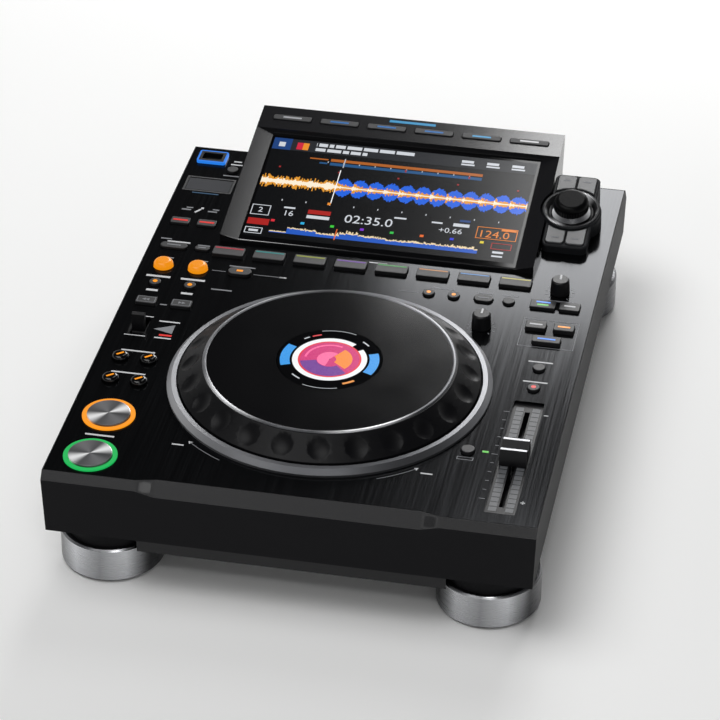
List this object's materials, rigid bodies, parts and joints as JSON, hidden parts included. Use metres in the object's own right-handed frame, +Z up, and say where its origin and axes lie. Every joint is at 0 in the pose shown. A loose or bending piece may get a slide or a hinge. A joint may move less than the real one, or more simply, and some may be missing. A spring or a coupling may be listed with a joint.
{
  "type": "dj media player",
  "caption": "Table-top DJ media player with a tilted touch display, a dimpled jog wheel with a display in its hub, a tempo fader, rotary selector, lit keys and turned metal feet.",
  "frame": {"origin": "under the middle of the player's box, on the surface that it stands on", "axes": "+X to the user's right, +Y to the back, +Z up"},
  "size_m": [0.329, 0.453, 0.118],
  "materials": {
    "case_shell": "satin black moulded",
    "deck_plate": "black hairline brushed",
    "base_plate": "moulded black",
    "belly_pan": "black powder coat",
    "foot_shells": "turned, satin",
    "foot_pads": "matte",
    "screws": "blackened",
    "rear_panel": "black powder coat",
    "sockets": "moulded",
    "display_housing": "satin black moulded",
    "display_glass": "clear, glossy",
    "lcd_module": "lit screen in a steel tray",
    "light_guides": "translucent, lit",
    "jog_bezel": "satin silver",
    "jog_base": "pressed steel",
    "jog_display": "round display on a post",
    "jog_display_window": "clear, glossy",
    "selector_pod": "satin and gloss black",
    "fader_bed": "grey printed",
    "lever_bracket": "moulded",
    "circuit_boards": "glass epoxy board",
    "power_supply": "vented cage, mostly air",
    "jog_hub": "moulded",
    "jog_ring": "soft-touch dark grey",
    "jog_platter": "polished black",
    "jog_trim_ring": "bright",
    "play_button": "spun metal face",
    "cue_button": "spun metal face",
    "loop_in_button": "lit amber",
    "loop_out_button": "lit amber",
    "reloop_key": "satin black rubber",
    "beat_loop_keys": "satin black rubber",
    "beat_jump_keys": "satin black rubber",
    "quantize_slip_keys": "satin black rubber",
    "time_keys": "satin black rubber",
    "search_keys": "gloss black",
    "cue_memory_keys": "satin black rubber",
    "jog_mode_keys": "satin black rubber",
    "sync_keys": "satin black rubber",
    "tempo_keys": "satin black rubber",
    "tempo_reset_key": "satin black rubber",
    "usb_stop_key": "satin black rubber",
    "hot_cue_key_1": "satin black rubber",
    "hot_cue_key_2": "satin black rubber",
    "hot_cue_key_3": "satin black rubber",
    "hot_cue_key_4": "satin black rubber",
    "hot_cue_key_5": "satin black rubber",
    "hot_cue_key_6": "satin black rubber",
    "hot_cue_key_7": "satin black rubber",
    "hot_cue_key_8": "satin black rubber",
    "menu_keys": "satin black rubber",
    "selector_keys": "satin black rubber",
    "selector_shaft": "turned",
    "selector_knob": "gloss black over a bright side",
    "vinyl_speed_knob": "satin black rubber",
    "jog_adjust_knob": "satin black rubber",
    "tempo_fader_cap": "black with silver ridges",
    "direction_lever": "matte black",
    "sd_door": "dark grey moulded",
    "power_rocker": "moulded"
  },
  "bodies": {
    "chassis": {"case_shell": "case_shell", "deck_plate": "deck_plate", "base_plate": "base_plate", "belly_pan": "belly_pan", "foot_shells": "foot_shells", "foot_pads": "foot_pads", "screws": "screws", "rear_panel": "rear_panel", "sockets": "sockets", "display_housing": "display_housing", "display_glass": "display_glass", "lcd_module": "lcd_module", "light_guides": "light_guides", "jog_bezel": "jog_bezel", "jog_base": "jog_base", "jog_display": "jog_display", "jog_display_window": "jog_display_window", "selector_pod": "selector_pod", "fader_bed": "fader_bed", "lever_bracket": "lever_bracket", "circuit_boards": "circuit_boards", "power_supply": "power_supply"},
    "jog_wheel": {"jog_hub": "jog_hub", "jog_ring": "jog_ring", "jog_platter": "jog_platter", "jog_trim_ring": "jog_trim_ring"},
    "play_button": {"play_button": "play_button"},
    "cue_button": {"cue_button": "cue_button"},
    "loop_in_button": {"loop_in_button": "loop_in_button"},
    "loop_out_button": {"loop_out_button": "loop_out_button"},
    "reloop_key": {"reloop_key": "reloop_key"},
    "beat_loop_keys": {"beat_loop_keys": "beat_loop_keys"},
    "beat_jump_keys": {"beat_jump_keys": "beat_jump_keys"},
    "quantize_slip_keys": {"quantize_slip_keys": "quantize_slip_keys"},
    "time_keys": {"time_keys": "time_keys"},
    "search_keys": {"search_keys": "search_keys"},
    "cue_memory_keys": {"cue_memory_keys": "cue_memory_keys"},
    "jog_mode_keys": {"jog_mode_keys": "jog_mode_keys"},
    "sync_keys": {"sync_keys": "sync_keys"},
    "tempo_keys": {"tempo_keys": "tempo_keys"},
    "tempo_reset_key": {"tempo_reset_key": "tempo_reset_key"},
    "usb_stop_key": {"usb_stop_key": "usb_stop_key"},
    "hot_cue_key_1": {"hot_cue_key_1": "hot_cue_key_1"},
    "hot_cue_key_2": {"hot_cue_key_2": "hot_cue_key_2"},
    "hot_cue_key_3": {"hot_cue_key_3": "hot_cue_key_3"},
    "hot_cue_key_4": {"hot_cue_key_4": "hot_cue_key_4"},
    "hot_cue_key_5": {"hot_cue_key_5": "hot_cue_key_5"},
    "hot_cue_key_6": {"hot_cue_key_6": "hot_cue_key_6"},
    "hot_cue_key_7": {"hot_cue_key_7": "hot_cue_key_7"},
    "hot_cue_key_8": {"hot_cue_key_8": "hot_cue_key_8"},
    "menu_keys": {"menu_keys": "menu_keys"},
    "selector_keys": {"selector_keys": "selector_keys"},
    "selector_shaft": {"selector_shaft": "selector_shaft"},
    "selector_knob": {"selector_knob": "selector_knob"},
    "vinyl_speed_knob": {"vinyl_speed_knob": "vinyl_speed_knob"},
    "jog_adjust_knob": {"jog_adjust_knob": "jog_adjust_knob"},
    "tempo_fader_cap": {"tempo_fader_cap": "tempo_fader_cap"},
    "direction_lever": {"direction_lever": "direction_lever"},
    "sd_door": {"sd_door": "sd_door"},
    "power_rocker": {"power_rocker": "power_rocker"}
  },
  "joints": [
    {"name": "jog_spin", "type": "hinge", "parent": "chassis", "child": "jog_wheel", "pos_m": [0, -0.085, 0.088], "axis": [0, 0, 1], "continuous": true},
    {"name": "play_button_press", "type": "slide", "parent": "chassis", "child": "play_button", "axis": [0, 0, -1], "range_m": [0, 0.0008], "stiffness_N_per_m": 120, "springref_m": -0.003},
    {"name": "cue_button_press", "type": "slide", "parent": "chassis", "child": "cue_button", "axis": [0, 0, -1], "range_m": [0, 0.0008], "stiffness_N_per_m": 120, "springref_m": -0.003},
    {"name": "loop_in_button_press", "type": "slide", "parent": "chassis", "child": "loop_in_button", "axis": [0, 0, -1], "range_m": [0, 0.0008], "stiffness_N_per_m": 120, "springref_m": -0.003},
    {"name": "loop_out_button_press", "type": "slide", "parent": "chassis", "child": "loop_out_button", "axis": [0, 0, -1], "range_m": [0, 0.0008], "stiffness_N_per_m": 120, "springref_m": -0.003},
    {"name": "reloop_key_press", "type": "slide", "parent": "chassis", "child": "reloop_key", "axis": [0, 0, -1], "range_m": [0, 0.0008], "stiffness_N_per_m": 120, "springref_m": -0.003},
    {"name": "beat_loop_keys_press", "type": "slide", "parent": "chassis", "child": "beat_loop_keys", "axis": [0, 0, -1], "range_m": [0, 0.0008], "stiffness_N_per_m": 120, "springref_m": -0.003},
    {"name": "beat_jump_keys_press", "type": "slide", "parent": "chassis", "child": "beat_jump_keys", "axis": [0, 0, -1], "range_m": [0, 0.0008], "stiffness_N_per_m": 120, "springref_m": -0.003},
    {"name": "quantize_slip_keys_press", "type": "slide", "parent": "chassis", "child": "quantize_slip_keys", "axis": [0, 0, -1], "range_m": [0, 0.0008], "stiffness_N_per_m": 120, "springref_m": -0.003},
    {"name": "time_keys_press", "type": "slide", "parent": "chassis", "child": "time_keys", "axis": [0, 0, -1], "range_m": [0, 0.0008], "stiffness_N_per_m": 120, "springref_m": -0.003},
    {"name": "search_keys_press", "type": "slide", "parent": "chassis", "child": "search_keys", "axis": [0, 0, -1], "range_m": [0, 0.0008], "stiffness_N_per_m": 120, "springref_m": -0.003},
    {"name": "cue_memory_keys_press", "type": "slide", "parent": "chassis", "child": "cue_memory_keys", "axis": [0, 0, -1], "range_m": [0, 0.0008], "stiffness_N_per_m": 120, "springref_m": -0.003},
    {"name": "jog_mode_keys_press", "type": "slide", "parent": "chassis", "child": "jog_mode_keys", "axis": [0, 0, -1], "range_m": [0, 0.0008], "stiffness_N_per_m": 120, "springref_m": -0.003},
    {"name": "sync_keys_press", "type": "slide", "parent": "chassis", "child": "sync_keys", "axis": [0, 0, -1], "range_m": [0, 0.0008], "stiffness_N_per_m": 120, "springref_m": -0.003},
    {"name": "tempo_keys_press", "type": "slide", "parent": "chassis", "child": "tempo_keys", "axis": [0, 0, -1], "range_m": [0, 0.0008], "stiffness_N_per_m": 120, "springref_m": -0.003},
    {"name": "tempo_reset_key_press", "type": "slide", "parent": "chassis", "child": "tempo_reset_key", "axis": [0, 0, -1], "range_m": [0, 0.0008], "stiffness_N_per_m": 120, "springref_m": -0.003},
    {"name": "usb_stop_key_press", "type": "slide", "parent": "chassis", "child": "usb_stop_key", "axis": [0, 0, -1], "range_m": [0, 0.0008], "stiffness_N_per_m": 120, "springref_m": -0.003},
    {"name": "hot_cue_key_1_press", "type": "slide", "parent": "chassis", "child": "hot_cue_key_1", "axis": [0, 0, -1], "range_m": [0, 0.0008], "stiffness_N_per_m": 120, "springref_m": -0.003},
    {"name": "hot_cue_key_2_press", "type": "slide", "parent": "chassis", "child": "hot_cue_key_2", "axis": [0, 0, -1], "range_m": [0, 0.0008], "stiffness_N_per_m": 120, "springref_m": -0.003},
    {"name": "hot_cue_key_3_press", "type": "slide", "parent": "chassis", "child": "hot_cue_key_3", "axis": [0, 0, -1], "range_m": [0, 0.0008], "stiffness_N_per_m": 120, "springref_m": -0.003},
    {"name": "hot_cue_key_4_press", "type": "slide", "parent": "chassis", "child": "hot_cue_key_4", "axis": [0, 0, -1], "range_m": [0, 0.0008], "stiffness_N_per_m": 120, "springref_m": -0.003},
    {"name": "hot_cue_key_5_press", "type": "slide", "parent": "chassis", "child": "hot_cue_key_5", "axis": [0, 0, -1], "range_m": [0, 0.0008], "stiffness_N_per_m": 120, "springref_m": -0.003},
    {"name": "hot_cue_key_6_press", "type": "slide", "parent": "chassis", "child": "hot_cue_key_6", "axis": [0, 0, -1], "range_m": [0, 0.0008], "stiffness_N_per_m": 120, "springref_m": -0.003},
    {"name": "hot_cue_key_7_press", "type": "slide", "parent": "chassis", "child": "hot_cue_key_7", "axis": [0, 0, -1], "range_m": [0, 0.0008], "stiffness_N_per_m": 120, "springref_m": -0.003},
    {"name": "hot_cue_key_8_press", "type": "slide", "parent": "chassis", "child": "hot_cue_key_8", "axis": [0, 0, -1], "range_m": [0, 0.0008], "stiffness_N_per_m": 120, "springref_m": -0.003},
    {"name": "menu_keys_press", "type": "slide", "parent": "chassis", "child": "menu_keys", "axis": [0, 0.1356, -0.9908], "range_m": [0, 0.0008], "stiffness_N_per_m": 120, "springref_m": -0.003},
    {"name": "selector_keys_press", "type": "slide", "parent": "chassis", "child": "selector_keys", "axis": [0, 0.1876, -0.9822], "range_m": [0, 0.0008], "stiffness_N_per_m": 120, "springref_m": -0.003},
    {"name": "selector_shaft_press", "type": "slide", "parent": "chassis", "child": "selector_shaft", "axis": [0, 0.1876, -0.9822], "range_m": [0, 0.0008], "stiffness_N_per_m": 120, "springref_m": -0.003},
    {"name": "selector_turn", "type": "hinge", "parent": "selector_shaft", "child": "selector_knob", "pos_m": [0.132, 0.145, 0.10205], "axis": [0, -0.1876, 0.9822], "continuous": true},
    {"name": "vinyl_speed_knob_turn", "type": "hinge", "parent": "chassis", "child": "vinyl_speed_knob", "pos_m": [0.1374, 0.056, 0.088], "axis": [0, 0, -1], "range_deg": [-140, 140]},
    {"name": "jog_adjust_knob_turn", "type": "hinge", "parent": "chassis", "child": "jog_adjust_knob", "pos_m": [0.09, 0.002, 0.088], "axis": [0, 0, -1], "range_deg": [-140, 140]},
    {"name": "tempo_fader_slide", "type": "slide", "parent": "chassis", "child": "tempo_fader_cap", "axis": [0, -1, 0], "range_m": [-0.05, 0.05]},
    {"name": "direction_lever_tilt", "type": "hinge", "parent": "chassis", "child": "direction_lever", "pos_m": [-0.1448, -0.0432, 0.082], "axis": [-1, 0, 0], "range_deg": [-12, 12]},
    {"name": "sd_door_hinge", "type": "hinge", "parent": "chassis", "child": "sd_door", "pos_m": [-0.1411, 0.1588, 0.0868], "axis": [-1, 0, 0], "range_deg": [0, 80]},
    {"name": "power_rocker_tilt", "type": "hinge", "parent": "chassis", "child": "power_rocker", "pos_m": [0.066, 0.2145, 0.0586], "axis": [-1, 0, 0], "range_deg": [0, 16]}
  ]
}
